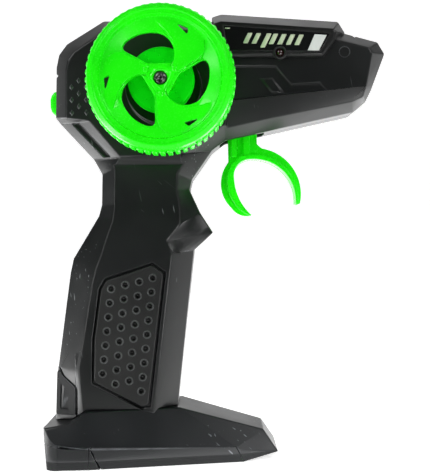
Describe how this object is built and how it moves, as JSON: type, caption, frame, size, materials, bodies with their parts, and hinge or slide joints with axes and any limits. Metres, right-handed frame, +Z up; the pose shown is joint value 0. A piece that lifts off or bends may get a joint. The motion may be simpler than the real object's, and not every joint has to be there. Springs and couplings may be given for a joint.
{
  "type": "pistol-grip radio handset",
  "caption": "Pistol-grip radio handset for a toy vehicle, with a side steering wheel, a ring trigger, a rear button and a flat foot that holds the cells.",
  "frame": {"origin": "centre of the foot's flat underside", "axes": "+X forward to the nose, +Z up, -Y the side that carries the steering wheel"},
  "size_m": [0.126, 0.065, 0.1621],
  "materials": {
    "shell_black": "fine moulded grain, semi-matt",
    "hood_black": "fine moulded grain",
    "label_gloss": "glossy black",
    "chip_silver": "pale silver print",
    "lamp_red": "dark red clear lens",
    "grip_rubber": "matt, dimpled",
    "screw_steel": "zinc plated",
    "screw_dark": "black passivated",
    "tray_black": "plain moulded",
    "cell_wrap": "shrink sleeve",
    "contact_steel": "nickel plated",
    "wheel_green": "semi-gloss neon green",
    "disc_green": "fine textured green",
    "shaft_white": "natural acetal",
    "sensor_blue": "moulded",
    "board_green": "solder resist",
    "can_silver": "pressed tinplate",
    "wire_red": "PVC sleeve",
    "wire_black": "PVC sleeve"
  },
  "bodies": {
    "root": {"housing_right": "shell_black", "housing_left": "shell_black", "top_hood": "hood_black", "label_right": "label_gloss", "label_left": "label_gloss", "label_chips": "chip_silver", "lamp_bezel": "hood_black", "lamp": "lamp_red", "grip_pad_right": "grip_rubber", "grip_pad_left": "grip_rubber", "strap_lug": "shell_black", "housing_screws": "screw_steel", "base_shell": "shell_black", "base_screws": "screw_steel", "battery_tray": "tray_black", "battery_cells": "cell_wrap", "battery_springs": "contact_steel", "contact_plates": "contact_steel", "shaft_bush": "shaft_white", "steering_spring": "contact_steel", "steering_sensor": "sensor_blue", "trigger_spring": "contact_steel", "trigger_sensor": "sensor_blue", "power_switch": "tray_black", "switch_board": "board_green", "main_board": "board_green", "board_screws": "screw_steel", "radio_module": "can_silver", "control_chip": "tray_black", "board_parts": "tray_black", "battery_lead_red": "wire_red", "battery_lead_black": "wire_black", "antenna_wire": "wire_black"},
    "steering": {"steering_wheel": "wheel_green", "wheel_hub_disc": "disc_green", "wheel_screw": "screw_dark", "steering_shaft": "shaft_white", "steering_arm": "shaft_white"},
    "trigger_body": {"trigger": "wheel_green", "trigger_pin": "contact_steel"},
    "button": {"power_button": "wheel_green", "switch_plunger": "tray_black"},
    "door": {"battery_door": "shell_black", "door_screw": "screw_steel"}
  },
  "joints": [
    {"name": "steer", "type": "hinge", "parent": "root", "child": "steering", "pos_m": [0.0026, -0.033, 0.1346], "axis": [0, -1, 0], "range_deg": [-35, 35], "stiffness_Nm_per_rad": 0.05},
    {"name": "pull_trigger", "type": "hinge", "parent": "root", "child": "trigger_body", "pos_m": [0.031, 0, 0.128], "axis": [0, 1, 0], "range_deg": [-10, 12], "stiffness_Nm_per_rad": 0.15},
    {"name": "press_button", "type": "slide", "parent": "root", "child": "button", "axis": [1, 0, 0], "range_m": [0, 0.001], "stiffness_N_per_m": 500, "springref_m": -0.0005},
    {"name": "open_door", "type": "hinge", "parent": "root", "child": "door", "pos_m": [0.0132, 0, 0.0009], "axis": [0, -1, 0], "range_deg": [0, 70]}
  ]
}
